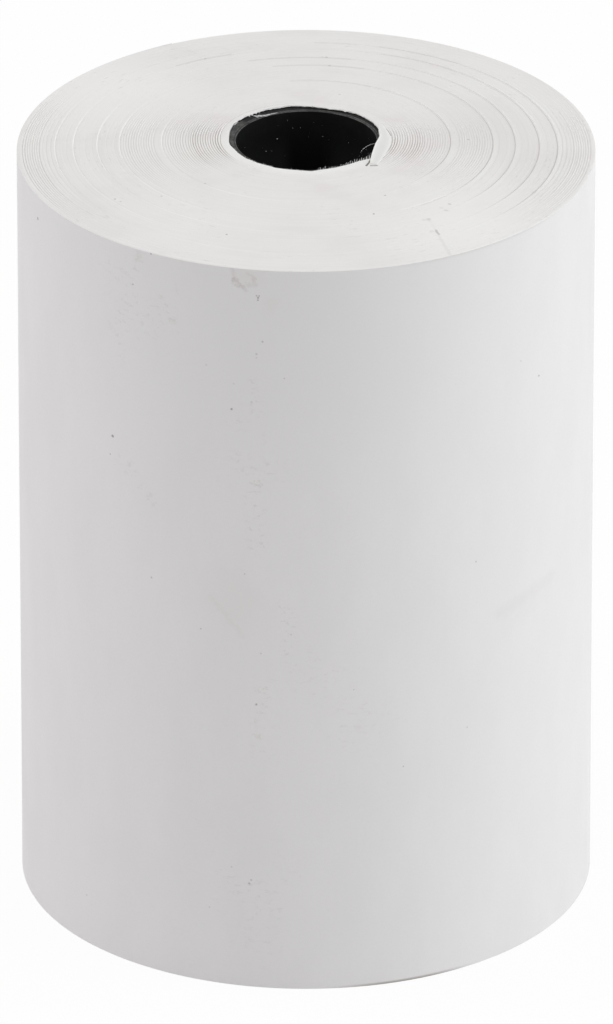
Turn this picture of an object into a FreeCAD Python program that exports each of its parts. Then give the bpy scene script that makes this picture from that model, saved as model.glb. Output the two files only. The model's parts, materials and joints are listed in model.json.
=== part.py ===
import FreeCAD, Part
import math
import os

# A till roll: one long strip of thermal paper wound on a thin plastic core. It stands on end,
# with its axis on +Z and its origin in the middle of the plane that its outer turns stand on.
# The strip is one solid. Its turns have crept along the axis while the roll was handled, so
# the top face is domed, the bottom face is hollow by the same amount, and slipped turns show
# as ring steps on both. Every length is in millimetres and every angle in degrees.

# Driving dimensions.
STRIP_WIDTH = 57.0
ROLL_DIAMETER = 41.5
PAPER_THICKNESS = 0.06
CORE_DIAMETER = 11.0
CORE_WALL = 0.45
CORE_LENGTH = 57.0
CORE_CHAMFER = 0.1
CORE_RECESS = 0.15

# How far the turns have crept: most at the core, nothing in the level outer turns.
CREEP = 0.8
CREEP_POWER = 1.4
LEVEL_TURNS = 7

# Ring steps, as radius over the roll's radius, from the core outwards.
LOOSE_STEPS = (0.397, 0.500, 0.646, 0.723, 0.806, 0.869)
LOOSE_STEP_HEIGHT = 0.08
INNER_STEPS = (0.300, 0.358, 3)
OUTER_STEPS = (0.910, 0.956, 3)
FINE_STEP_HEIGHT = 0.035
STEP_RUN = 2.5 * PAPER_THICKNESS

# The strip's outer end lies behind the roll, and its innermost turn is creased beside the core.
TAIL_DIRECTION = 118.0
CREASE_DIRECTIONS = (130.0, 163.0, 186.0, 210.0)

# The strip's inner end is folded over the core's rim, with its crease nearly along Y. The
# outline is the distance out from the crease, and Y, for each corner of the scrap.
FOLD_X = 5.15
FOLD_LEAN = 0.10
FOLD_OUTLINE = ((0.15, 2.6), (0.95, -0.1), (0.65, -3.2), (0.25, -4.2), (0.0, -4.2), (0.0, 0.9))
FOLD_GAP = 0.04
FOLD_RISE = 0.20
FOLD_TILT = 8.0

ROLL_RADIUS = ROLL_DIAMETER / 2
CORE_RADIUS = CORE_DIAMETER / 2
BORE_RADIUS = CORE_RADIUS - CORE_WALL
LEVEL_RADIUS = ROLL_RADIUS - LEVEL_TURNS * PAPER_THICKNESS
CORE_TOP = CREEP + STRIP_WIDTH - CORE_RECESS
SPARE = 1.0


def vector(x, y, z=0.0):
    return FreeCAD.Vector(x, y, z)


def polar(radius, angle, z=0.0):
    turn = math.radians(angle)
    return vector(radius * math.cos(turn), radius * math.sin(turn), z)


def extruded(edges, bottom, height):
    """A prism over a closed outline of edges drawn at z = 0."""
    face = Part.Face(Part.Wire(edges))
    face.translate(vector(0, 0, bottom))
    return face.extrude(vector(0, 0, height))


def creep(radius):
    """How far the turn at this radius has moved along the axis."""
    reach = (radius - CORE_RADIUS) / (LEVEL_RADIUS - CORE_RADIUS)
    return CREEP * (1.0 - max(0.0, reach) ** CREEP_POWER)


def evenly(first, last, count):
    return [first + (last - first) * place / (count - 1) for place in range(count)]


def ring_steps():
    """Radius and height of every ring step, from the core outwards."""
    steps = [(fraction, FINE_STEP_HEIGHT) for fraction in evenly(*INNER_STEPS)]
    steps += [(fraction, LOOSE_STEP_HEIGHT) for fraction in LOOSE_STEPS]
    steps += [(fraction, FINE_STEP_HEIGHT) for fraction in evenly(*OUTER_STEPS)]
    return [(fraction * ROLL_RADIUS, height) for fraction, height in steps]


def end_profile():
    """The end face from the middle outwards: each step climbs, and the turns after it sink."""
    points = [(CORE_RADIUS - SPARE, CREEP), (CORE_RADIUS, CREEP)]
    for radius, height in ring_steps():
        middle = creep(radius)
        points.append((radius - STEP_RUN / 2, middle - height / 2))
        points.append((radius + STEP_RUN / 2, middle + height / 2))
    points += [(LEVEL_RADIUS, 0.0), (ROLL_RADIUS + SPARE, 0.0)]
    return points


def wound_turns():
    """All turns as one revolved solid, wider than the roll and reaching inside the core."""
    lower = [vector(radius, 0, height) for radius, height in end_profile()]
    upper = [point + vector(0, 0, STRIP_WIDTH) for point in reversed(lower)]
    section = Part.Face(Part.makePolygon(lower + upper + lower[:1]))
    return section.revolve(vector(0, 0, 0), vector(0, 0, 1), 360)


def half_turn(centre, radius, start):
    """A half circle about a centre, from a start angle and counterclockwise."""
    points = [centre + polar(radius, start + angle) for angle in (0, 90, 180)]
    return Part.Arc(*points).toShape()


def outer_outline():
    """Two half turns whose ends differ by one thickness of paper, where the strip ends."""
    drop = PAPER_THICKNESS / 2
    first = half_turn(vector(0, 0), ROLL_RADIUS, TAIL_DIRECTION)
    second = half_turn(polar(-drop, TAIL_DIRECTION), ROLL_RADIUS - drop, TAIL_DIRECTION + 180)
    tail = Part.makeLine(
        polar(ROLL_RADIUS - PAPER_THICKNESS, TAIL_DIRECTION),
        polar(ROLL_RADIUS, TAIL_DIRECTION),
    )
    return [first, second, tail]


def inner_outline():
    """The core's circle, with flats that touch it where the innermost turn is creased."""
    first, last = CREASE_DIRECTIONS[0], CREASE_DIRECTIONS[-1]
    middle = (first + last) / 2 + 180
    bends = [polar(CORE_RADIUS, first)]
    for before, after in zip(CREASE_DIRECTIONS, CREASE_DIRECTIONS[1:]):
        reach = CORE_RADIUS / math.cos(math.radians(after - before) / 2)
        bends.append(polar(reach, (before + after) / 2))
    bends.append(polar(CORE_RADIUS, last))
    round_part = Part.Arc(bends[-1], polar(CORE_RADIUS, middle), bends[0]).toShape()
    flats = [Part.makeLine(start, end) for start, end in zip(bends, bends[1:])]
    return flats + [round_part]


def folded_end():
    """The folded inner end: a flat scrap over the core's rim, highest along its crease."""
    corners = [vector(FOLD_X + FOLD_LEAN * y + out, y) for out, y in FOLD_OUTLINE]
    edges = [Part.makeLine(*pair) for pair in zip(corners, corners[1:] + corners[:1])]
    scrap = extruded(edges, CORE_TOP + FOLD_GAP, SPARE)
    crease = vector(FOLD_X, 0, STRIP_WIDTH + CREEP + FOLD_RISE)
    below = Part.makeBox(2 * SPARE, ROLL_DIAMETER, 2 * SPARE)
    below.translate(crease - vector(SPARE / 2, ROLL_RADIUS, 2 * SPARE))
    below.rotate(crease, vector(0, 1, 0), FOLD_TILT)
    return scrap.common(below)


def paper_roll():
    height = STRIP_WIDTH + 2 * SPARE
    outside = extruded(outer_outline(), -SPARE, height + CREEP)
    inside = extruded(inner_outline(), -SPARE, height + CREEP)
    turns = wound_turns().common(outside).cut(inside)
    return turns.fuse(folded_end())


def core():
    """The plastic tube, with the edge of its bore broken at both ends."""
    tube = Part.makeCylinder(CORE_RADIUS, CORE_LENGTH)
    tube = tube.cut(Part.makeCylinder(BORE_RADIUS, CORE_LENGTH))
    circles = [edge for edge in tube.Edges if edge.Closed]
    mouths = [edge for edge in circles if edge.Curve.Radius < CORE_RADIUS]
    tube = tube.makeChamfer(CORE_CHAMFER, mouths)
    tube.translate(vector(0, 0, CORE_TOP - CORE_LENGTH))
    return tube


def main():
    os.makedirs("parts", exist_ok=True)
    for name, shape in (("paper_roll", paper_roll()), ("core", core())):
        solid = shape.Solids[0] if len(shape.Solids) == 1 else shape
        solid.exportStep("parts/" + name + ".step")
        print(name, shape.isValid(), len(shape.Solids), round(shape.Volume, 2), shape.BoundBox)


main()
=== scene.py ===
"""The looks of a thermal paper roll that stands on end: wound white paper on a black core."""
import json
import math
import random

import bmesh
import bpy
import numpy as np
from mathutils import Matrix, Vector


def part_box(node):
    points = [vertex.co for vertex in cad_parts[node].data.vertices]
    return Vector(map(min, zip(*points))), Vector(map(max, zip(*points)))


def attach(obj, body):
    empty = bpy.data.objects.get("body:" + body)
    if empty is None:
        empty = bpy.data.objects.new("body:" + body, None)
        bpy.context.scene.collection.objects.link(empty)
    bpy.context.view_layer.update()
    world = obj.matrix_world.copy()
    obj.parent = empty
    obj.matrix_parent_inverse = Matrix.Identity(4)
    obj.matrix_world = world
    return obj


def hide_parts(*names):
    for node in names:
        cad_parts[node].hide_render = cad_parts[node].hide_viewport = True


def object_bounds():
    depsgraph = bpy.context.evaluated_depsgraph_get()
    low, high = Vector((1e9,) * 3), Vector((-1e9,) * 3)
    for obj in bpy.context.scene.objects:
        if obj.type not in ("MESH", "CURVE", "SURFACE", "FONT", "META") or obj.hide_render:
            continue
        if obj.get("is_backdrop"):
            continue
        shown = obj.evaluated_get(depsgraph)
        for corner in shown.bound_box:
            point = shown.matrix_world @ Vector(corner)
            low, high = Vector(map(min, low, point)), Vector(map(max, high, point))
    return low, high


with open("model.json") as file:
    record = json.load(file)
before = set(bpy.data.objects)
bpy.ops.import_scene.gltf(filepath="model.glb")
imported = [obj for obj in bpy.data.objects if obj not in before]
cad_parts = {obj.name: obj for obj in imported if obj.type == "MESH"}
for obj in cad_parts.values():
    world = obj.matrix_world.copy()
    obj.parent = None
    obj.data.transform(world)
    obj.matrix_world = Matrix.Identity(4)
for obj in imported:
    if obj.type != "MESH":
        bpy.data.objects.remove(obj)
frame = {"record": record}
cad_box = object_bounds()

MM = 0.001
SEED = 7

# Sizes read from the frame. The outer turn stays a hair inside the source's solid.
HAIR = 0.002 * MM
core_low, core_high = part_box("core")
paper_low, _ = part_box("paper_roll")
core_bore = {mount["name"]: mount for mount in frame["record"]["mounts"]}["core_bore"]
BORE_RADIUS = core_bore["dims"]["r_mm"] * MM
STRIP_WIDTH = core_bore["dims"]["length_mm"] * MM
CORE_RADIUS = core_high.x
CORE_TOP = core_high.z
CORE_BOTTOM = core_low.z
ROLL_RADIUS = -paper_low.x - HAIR

# The winding: the paper's thickness, and how far the turns by the core crept along the axis.
PAPER = 0.06 * MM
CREEP = 0.8 * MM
CREEP_POWER = 1.4
LEVEL_RADIUS = ROLL_RADIUS - 7 * PAPER
FACE_TOP = STRIP_WIDTH + CREEP
TAIL_ANGLE = math.radians(118.0)

# The main steps: their shares of the roll's radius, height, and how dark the painted shade in
# the gaps inside them is.
LOOSE_STEPS = (0.500, 0.646, 0.723, 0.806, 0.869)
LOOSE_HEIGHT = 0.085 * MM
LOOSE_SHADE = 0.30

# The fine steps, by zone: its start and end as shares of the radius, the turns between steps
# at its start and end, their height in mm, how dark the painted shade in their gaps is, and
# how much they fade.
FINE_ZONES = (
    (0.300, 0.425, 3.1, 2.9, 0.095, 0.46, 0.45),
    (0.430, 0.490, 3.0, 3.0, 0.048, 0.20, 0.35),
    (0.530, 0.640, 3.0, 3.0, 0.030, 0.12, 0.00),
    (0.665, 0.860, 9.0, 7.0, 0.012, 0.03, 0.00),
    (0.885, 0.925, 5.0, 3.0, 0.026, 0.08, 0.00),
    (0.925, 0.988, 2.9, 2.9, 0.040, 0.16, 0.00),
)

# How wide a main step, a fine one and the bands of painted gap shade are, and the least room
# between steps.
LOOSE_RUN = 0.075 * MM
FINE_RUN = 0.050 * MM
GAP_RUN = 0.055 * MM
LEAST_ROOM = 0.01 * MM

# The rounding of the roll's top edge: how wide and how deep.
EDGE_ROUND = 0.21 * MM
EDGE_DROP = 0.06 * MM

# The mouth of the paper's bore: the corners and bends of the innermost turn's edge, in mm.
MOUTH = (
    (0.38, -5.55), (0.85, -5.36), (2.15, -4.90), (3.00, -4.42), (3.75, -3.86), (4.37, -3.53),
    (4.66, -3.38), (5.02, -2.60), (5.30, -1.60), (5.45, 0.00), (5.24, 1.20), (5.10, 1.99),
    (4.94, 2.50), (4.73, 3.02), (4.39, 3.50), (3.82, 4.24), (3.39, 4.56), (2.53, 5.02),
    (1.67, 5.22), (0.81, 5.52), (0.37, 5.64), (-0.10, 5.66), (-0.92, 5.78), (-1.35, 5.72),
    (-1.78, 5.52), (-2.64, 5.23), (-3.50, 4.76), (-4.36, 3.94), (-5.20, 2.86), (-5.36, 2.10),
    (-5.48, 1.40), (-5.52, 0.50), (-5.52, -0.55), (-5.39, -1.20), (-4.77, -2.64),
    (-4.34, -3.32), (-3.48, -4.15), (-2.19, -4.98), (-1.33, -5.23), (-0.60, -5.38),
)

# How far into the paper the mouth's bends, its torn edge and its drooping lip reach. How far
# the lip droops, and in mm how ragged the edge is, and how much more at the back.
MOUTH_DEPTH = 0.45 * MM
TORN_DEPTH = 0.05 * MM
LIP_DEPTH = 0.07 * MM
LIP_DROP = 0.08 * MM
TORN, TORN_BACK = 0.012, 0.038

# How the turns stand out round the roll, most to the left and right: degrees, the main steps,
# the fine ones, how strong the painted shade in the main gaps is, how strong the painted
# highlight on the flanks, and how strong the painted highlight on the main edges.
STANDING = (
    (0, 1.00, 1.00, 1.0, 0.5, 0.0), (10, 1.00, 0.80, 1.0, 0.4, 0.0),
    (20, 0.97, 0.25, 1.0, 0.3, 0.0), (35, 0.93, 0.05, 1.0, 0.1, 0.0),
    (60, 0.82, 0.05, 1.0, 0.0, 0.0), (80, 0.65, 0.05, 0.9, 0.0, 0.0),
    (100, 0.45, 0.05, 0.8, 0.0, 0.0), (120, 0.28, 0.05, 0.6, 0.0, 0.0),
    (145, 0.10, 0.05, 0.2, 0.0, 0.0), (158, 0.20, 0.45, 0.1, 0.1, 0.0),
    (167, 0.55, 0.95, 0.1, 0.5, 0.0), (178, 1.00, 1.00, 0.1, 1.0, 0.2),
    (200, 1.00, 0.90, 0.1, 1.0, 0.6), (212, 0.90, 0.45, 0.0, 1.0, 1.0),
    (222, 0.60, 0.10, 0.0, 0.8, 1.0), (235, 0.40, 0.05, 0.0, 0.6, 1.0),
    (250, 0.20, 0.05, 0.0, 0.2, 0.6), (270, 0.15, 0.05, 0.0, 0.0, 0.1),
    (300, 0.20, 0.05, 0.0, 0.1, 0.0), (320, 0.40, 0.15, 0.2, 0.3, 0.0),
    (332, 0.85, 0.65, 0.8, 0.5, 0.0), (343, 1.00, 1.00, 1.0, 0.5, 0.0),
    (360, 1.00, 1.00, 1.0, 0.5, 0.0),
)

# Where the fine edges get a painted highlight, and where the main gaps' painted shade is broken
# up: degrees, how much.
FINE_HIGHLIGHTS = ((172, 0.0), (186, 0.8), (206, 0.9), (217, 0.0))
BROKEN_GAP_SHADE = ((65, 0.0), (90, 0.7), (150, 0.7), (165, 0.0))

# How much more painted shade a fine gap gets beside a highlighted edge, and how strong that
# edge's painted highlight is.
HIGHLIGHT_GAP_SHADE = 0.7
EDGE_HIGHLIGHT = 0.85

# Patches along the strip in which its painted edge highlight and gap shade vary: how many a
# turn, and how much.
PATCHES = 14
PATCH_RANGE = (-0.35, 1.6)

# Where a turn slips to the next one's offset, how that varies, and how long it takes, in turns.
SLIP_PLACE, SLIP_SPREAD, SLIP_LENGTH = 0.578, 0.05, 0.14

# The wander of the strip's edge: knots a turn, and its size in mm in quiet and busy zones.
# The busy zones are (share of the radius, width, weight), and the slow waves (height in mm,
# count a turn, lag with the radius).
KNOTS = 3
WANDER, BUSY_WANDER = 0.0016, 0.0026
BUSY_ZONES = ((0.30, 0.09, 1.0), (0.97, 0.03, 0.7))
SLOW_WAVES = ((0.010, 2, 9), (0.008, 3, -17))
STILL_EDGE = 12 * PAPER

# How finely the turns are drawn: columns round the roll, the spacing of turns on each face,
# and where the wall and the bore have rows, as shares of the way down.
COLUMNS = 180
TOP_SPACING = 0.100 * MM
BOTTOM_SPACING = 0.160 * MM
WALL_SHARES = [row / 10 for row in range(1, 10)]
BORE_SHARES = (0.0024, 0.012, 0.5, 0.988, 0.9976)


# ---------------- the wound paper

def fine_steps():
    """Small steps between groups of turns: (radius over roll radius, height, run, gap)."""
    draw = random.Random(SEED)
    for first, last, wide, narrow, height, gap, fade in FINE_ZONES:
        place = first
        while place < last:
            along = (place - first) / (last - first)
            size = draw.uniform(0.70, 1.15) * (1.0 - fade * along)
            yield place, height * size * MM, FINE_RUN, gap * size
            turns = wide + (narrow - wide) * along
            place += turns * draw.uniform(0.92, 1.08) * PAPER / ROLL_RADIUS


def all_steps():
    """Every step of an end face, from the core outwards: (radius, height, run, gap).

    Where two would run into each other, the lower one is left out.
    """
    loose = [(place, LOOSE_HEIGHT, LOOSE_RUN, LOOSE_SHADE) for place in LOOSE_STEPS]
    kept = []
    for place, height, run, gap in sorted(loose + list(fine_steps())):
        radius = place * ROLL_RADIUS
        if kept and radius - kept[-1][0] < (run + kept[-1][2]) / 2 + GAP_RUN + LEAST_ROOM:
            if height < kept[-1][1]:
                continue
            kept.pop()
        kept.append((radius, height, run, gap))
    return kept


STEPS = all_steps()


def step_profile():
    """Radii, and how far the face stands off the plain creep there, at both sides of steps."""
    radii, offsets = [CORE_RADIUS], [0.0]
    for radius, height, run, _ in STEPS:
        radii += [radius - 0.5 * run, radius + 0.5 * run]
        offsets += [-0.5 * height, 0.5 * height]
    return radii + [ROLL_RADIUS - PAPER, ROLL_RADIUS], offsets + [0.0, 0.0]


PROFILE = step_profile()


def creep(radius):
    """How far the turn at this radius has moved along the axis."""
    reach = np.clip((radius - CORE_RADIUS) / (LEVEL_RADIUS - CORE_RADIUS), 0.0, 1.0)
    return CREEP * (1.0 - reach ** CREEP_POWER)


def grid_radii(spacing, detailed):
    """Radii of the drawn turns, among them both sides of every step.

    A detailed face also has the gaps inside the steps and the rounded outer edge.
    """
    fixed = [CORE_RADIUS, CORE_RADIUS + 0.5 * PAPER, CORE_RADIUS + PAPER, *PROFILE[0][1:]]
    if detailed:
        fixed += [radius - run / 2 - GAP_RUN for radius, _, run, _ in STEPS]
        fixed += [ROLL_RADIUS - part * EDGE_ROUND for part in (0.33, 0.66, 1.0)]
    fixed.sort()
    radii = fixed[:1]
    for radius in fixed[1:]:
        fill = max(1, round((radius - radii[-1]) / spacing))
        radii += list(np.linspace(radii[-1], radius, fill + 1)[1:])
    return np.array(radii)


def row_facts(grid):
    """For each grid radius: its offset, whether it's at a main step, how much painted shade it
    gets, its edges.

    The turn inside a step gets painted shade for its open gap, and the one that stands up gets a
    painted highlight on its flank, which counts below 0. The edges are the main steps' and the
    fine ones'.
    """
    offset = np.interp(grid, *PROFILE)
    main = np.zeros(len(grid), dtype=bool)
    dark = np.zeros(len(grid))
    edges = np.zeros((2, len(grid)))
    for radius, height, run, gap in STEPS:
        fine = height != LOOSE_HEIGHT
        beside = np.abs(np.abs(grid - radius) - run / 2) < 0.001 * MM
        inside, outside = beside & (grid < radius), beside & (grid > radius)
        size = min(height / LOOSE_HEIGHT, 1.0)
        main |= beside & (not fine)
        dark[inside] = gap
        dark[outside] = -size
        edges[int(fine), np.flatnonzero(outside) + 1] = size
    return offset, main, dark, edges


def read_round(table, angle):
    """The columns of a table of (degrees, value, ...), read at each angle."""
    degrees, *columns = np.array(table).T
    return [np.interp(np.degrees(angle) % 360.0, degrees, column) for column in columns]


def light_patches(turns, count):
    """How strong the painted edge light is along this many turns, in patches, from 0 to 1."""
    patch = np.random.default_rng(SEED + 5).uniform(*PATCH_RANGE, count * PATCHES)
    return np.clip(np.interp(turns * PATCHES, np.arange(len(patch)), patch), 0.0, 1.0)


def turn_heights(turns, angle, grid, draw):
    """Heights along the spiral, and the painted shade of its gaps and painted highlight of its
    flanks.

    Each drawn turn keeps its own offset, and slips to the next one's on a short stretch at
    the front of the roll, where the winding is nearly level.
    """
    offset, main, gap, edges = row_facts(grid)
    place = np.minimum(turns.astype(int), len(grid) - 2)
    centre = SLIP_PLACE + draw.uniform(-SLIP_SPREAD, SLIP_SPREAD, len(grid))
    share = np.clip((turns - place - centre[place]) / SLIP_LENGTH + 0.5, 0.0, 1.0)
    share = share * share * (3.0 - 2.0 * share)
    # Apart from the step heights, these columns weigh painted light: painted shade in the gaps,
    # and painted highlights on the flanks and the edges.
    strong, fine, main_gap_shade, flank_light, rubbed = read_round(STANDING, angle)
    (fine_highlight,), (broken,) = read_round(FINE_HIGHLIGHTS, angle), read_round(BROKEN_GAP_SHADE, angle)
    patchy = light_patches(turns, len(grid))
    rubbed = rubbed * patchy
    main_gap_shade = main_gap_shade * (1.0 - broken * (1.0 - patchy))

    def shown(row):
        stand = np.where(main[row], strong, fine)
        clear = np.where(main[row], main_gap_shade, fine * (1.0 + HIGHLIGHT_GAP_SHADE * fine_highlight))
        dark = gap[row] * np.where(gap[row] > 0, clear, flank_light * stand)
        # Painted highlight on the main and fine edges, in patches.
        dark -= EDGE_HIGHLIGHT * (edges[0, row] * rubbed + edges[1, row] * fine * fine_highlight)
        return offset[row] * stand, dark

    here, here_dark = shown(place)
    there, there_dark = shown(place + 1)
    return here + (there - here) * share, np.where(share < 0.5, here_dark, there_dark)


def wander(turns, angle, radius, draw):
    """The small wander of the strip's edge, smooth along the strip, in metres."""
    knots = draw.normal(0.0, 1.0, int(turns[-1] * KNOTS) + 4)
    along = np.interp(turns * KNOTS, np.arange(len(knots)), knots)
    share = radius / ROLL_RADIUS
    busy = sum(
        weight * np.exp(-((share - centre) / width) ** 2) for centre, width, weight in BUSY_ZONES
    )
    slow = sum(size * np.sin(count * angle + lag * share) for size, count, lag in SLOW_WAVES)
    edge = np.clip((ROLL_RADIUS - radius) / STILL_EDGE, 0.0, 1.0)
    return (along * (WANDER + BUSY_WANDER * busy) + slow * edge) * MM


def mouth_radius(angle):
    """The radius of the paper's edge round the mouth of its bore, straight between its bends."""
    corners = np.array(MOUTH) * MM
    turns = np.unwrap(np.arctan2(corners[:, 1], corners[:, 0]))
    along = (angle - turns[0]) % (2 * math.pi) + turns[0]
    place = np.searchsorted(turns, along, side="right") - 1
    start = corners[place]
    run = np.roll(corners, -1, axis=0)[place] - start
    across = np.cos(along) * run[..., 1] - np.sin(along) * run[..., 0]
    return (start[..., 0] * run[..., 1] - start[..., 1] * run[..., 0]) / across


def mouth_bend(angle, depth, draw):
    """How far the mouth's bends and its torn edge move the paper at this depth behind it."""
    ragged = TORN + TORN_BACK * np.clip(3.0 * np.sin(angle) - 1.5, 0.0, 1.0)
    torn = draw.normal(0.0, MM, len(angle)) * ragged * np.exp(-depth / TORN_DEPTH)
    return (mouth_radius(angle) - CORE_RADIUS) * np.exp(-depth / MOUTH_DEPTH) + torn


def spiral(grid, base, draw):
    """Points of one end face along a spiral through the grid radii, and their painted shade and
    highlight.
    """
    turns = np.arange((len(grid) - 1) * COLUMNS + 1) / COLUMNS
    angle = TAIL_ANGLE - 2 * math.pi * turns
    radius = np.interp(turns, np.arange(len(grid)), grid)
    offset, dark = turn_heights(turns, angle, grid, draw)
    height = creep(radius) + offset + wander(turns, angle, radius, draw)
    depth = radius - CORE_RADIUS
    shown = radius + mouth_bend(angle, depth, draw)
    if base > 0:
        height -= EDGE_DROP * np.clip((radius - ROLL_RADIUS) / EDGE_ROUND + 1.0, 0.0, 1.0) ** 2
    height -= LIP_DROP * np.exp(-depth / LIP_DEPTH) * np.clip(np.sin(angle) + 0.3, 0.0, 1.0)
    points = np.stack([shown * np.cos(angle), shown * np.sin(angle), base + height], axis=1)
    return points, dark[COLUMNS:-1]


def face_quads(first, turns):
    """Quads between each spiral point and the one a turn further out, facing up."""
    start = np.arange((turns - 1) * COLUMNS) + first
    return np.stack([start, start + 1, start + COLUMNS + 1, start + COLUMNS], axis=1)


def side_quads(rows):
    """Quads between rows of point numbers from the top down, facing out.

    The last of them, between the rows' last and first points, are the strip's cut end.
    """
    pairs = list(zip(rows, rows[1:]))
    around = [
        np.stack([above[:-1], above[1:], below[1:], below[:-1]], axis=1) for above, below in pairs
    ]
    cut = [(above[-1], above[0], below[0], below[-1]) for above, below in pairs]
    return np.concatenate([*around, cut])


def between(upper, lower, share):
    """The line of points that is this share of the way down from one line to another."""
    return upper * (1 - share) + lower * share


def spread(line, scale):
    """The points of a line, each one moved from the axis by its own factor."""
    return line * np.stack([scale, scale, np.ones(len(line))], axis=1)


def slack(line, share):
    """The outer turn isn't perfectly round: it lies a hair inside its circle here and there."""
    angle = np.arctan2(line[:, 1], line[:, 0])
    wave = 1.7 + np.sin(3 * angle + 1.0) * math.sin(5 * share) * 0.7
    wave += 0.5 * np.sin(7 * angle - 2.0) * math.cos(9 * share)
    return spread(line, 1.0 - 0.006 * MM * np.clip(wave, 0.0, None) / ROLL_RADIUS)


def seated(line):
    """Below its mouth the innermost turn lies on the core, apart from its creases."""
    angle = np.arctan2(line[:, 1], line[:, 0])
    crease = np.clip(mouth_radius(angle) - CORE_RADIUS, 0.0, 0.25 * MM)
    wanted = CORE_RADIUS + crease * 0.9 + 0.004 * MM
    return spread(line, wanted / np.hypot(line[:, 0], line[:, 1]))


def number_rows(rows, first):
    """Point numbers for rows that are stored one after another."""
    return [np.arange(len(row)) + first + place * len(row) for place, row in enumerate(rows)]


def wound_paper():
    """One closed mesh: both end faces as spirals, the outer wall and the bore."""
    draw = np.random.default_rng(SEED)
    top_grid = grid_radii(TOP_SPACING, True)
    bottom_grid = grid_radii(BOTTOM_SPACING, False)
    top, top_gaps = spiral(top_grid, STRIP_WIDTH, draw)
    bottom, bottom_gaps = spiral(bottom_grid, 0.0, draw)
    bottom[:, 2] = np.maximum(bottom[:, 2], 0.0)

    inner, outer = np.arange(COLUMNS + 1), np.arange(-COLUMNS - 1, 0)
    wall = [slack(between(top[outer], bottom[outer], share), share) for share in WALL_SHARES]
    bore = [seated(between(top[inner], bottom[inner], share)) for share in BORE_SHARES]
    first_bottom = len(top)
    first_wall = first_bottom + len(bottom)
    first_bore = first_wall + len(wall) * len(wall[0])
    wall_rows = [first_bottom + outer, *number_rows(wall, first_wall), first_wall + outer]
    bore_rows = [inner, *number_rows(bore, first_bore), first_bottom + inner]

    faces = [
        face_quads(0, len(top_grid) - 1),
        face_quads(first_bottom, len(bottom_grid) - 1)[:, ::-1],
        side_quads(wall_rows),
        side_quads(bore_rows)[:, ::-1],
    ]
    kinds = np.repeat((0, 0, 1, 1), [len(part) for part in faces])
    points = np.concatenate([top, bottom, *wall, *bore])
    piece = mesh_piece("wound_paper", points, np.concatenate(faces), kinds, sharp=50)
    # Each face's painted light from the steps: painted shade in a gap above 0, painted highlight
    # on a flank below 0.
    gaps = np.zeros(len(kinds), dtype=np.float32)
    gaps[:len(top_gaps) + len(bottom_gaps)] = np.concatenate([top_gaps, bottom_gaps])
    set_attribute(piece, "gap", "FACE", gaps)
    return piece


# ---------------- meshes in general

# A direction that no fibre runs along.
OFF_AXIS = Vector((0.3, 0.2, 1.0))


def face_outwards(mesh):
    """Turns the faces of a closed mesh outwards."""
    build = bmesh.new()
    build.from_mesh(mesh)
    bmesh.ops.recalc_face_normals(build, faces=build.faces)
    build.to_mesh(mesh)
    build.free()


def mesh_piece(name, points, faces, kinds=None, sharp=40):
    """A piece in the scene, smooth but for edges sharper than this many degrees.

    If its faces are outwards already, kinds can give their materials, and kind 0 stays flat.
    """
    mesh = bpy.data.meshes.new(name)
    mesh.from_pydata([tuple(point) for point in points], [], [tuple(face) for face in faces])
    mesh.update()
    if kinds is None:
        face_outwards(mesh)
    mesh.shade_smooth()
    mesh.set_sharp_from_angle(angle=math.radians(sharp))
    if kinds is not None:
        mesh.polygons.foreach_set("material_index", np.asarray(kinds, dtype=np.int32))
        mesh.polygons.foreach_set("use_smooth", np.asarray(kinds, dtype=bool))
    piece = bpy.data.objects.new(name, mesh)
    bpy.context.collection.objects.link(piece)
    return piece


def set_attribute(piece, name, domain, values):
    """Gives each face or point of a piece a number that its material reads."""
    piece.data.attributes.new(name, "FLOAT", domain).data.foreach_set("value", values)


def turned(name, outlines):
    """A ring-shaped solid from closed outlines of (radius, height), evenly round the axis."""
    points, faces = [], []
    count = len(outlines[0])
    for place, outline in enumerate(outlines):
        angle = 2 * math.pi * place / len(outlines)
        points += [(r * math.cos(angle), r * math.sin(angle), height) for r, height in outline]
        here, there = place * count, (place + 1) % len(outlines) * count
        for number in range(count):
            step = (number + 1) % count
            faces.append((here + number, there + number, there + step, here + step))
    return mesh_piece(name, points, faces)


def loft_faces(rings, count, first=0):
    """Faces round a row of rings of this many points, from the first number on, with caps."""
    last = first + (rings - 1) * count
    faces = [tuple(range(first, first + count))[::-1], tuple(range(last, last + count))]
    for start in range(first, last, count):
        for number in range(count):
            a, b = start + number, start + (number + 1) % count
            faces.append((a, b, b + count, a + count))
    return faces


def slab_faces(rows, bands):
    """Faces of a closed slab whose inner and outer skins are grids of points."""
    wide = bands + 1
    skin = (rows + 1) * wide
    faces = []
    for row in range(rows):
        for a in range(row * wide, row * wide + bands):
            faces.append((a, a + wide, a + wide + 1, a + 1))
            faces.append((skin + a, skin + a + 1, skin + a + wide + 1, skin + a + wide))
    border = [*range(bands), *range(bands, skin - 1, wide)]
    border += [*range(skin - 1, skin - wide, -1), *range(skin - wide, 0, -wide)]
    return faces + [(a, b, skin + b, skin + a) for a, b in zip(border, border[1:] + border[:1])]


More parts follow.
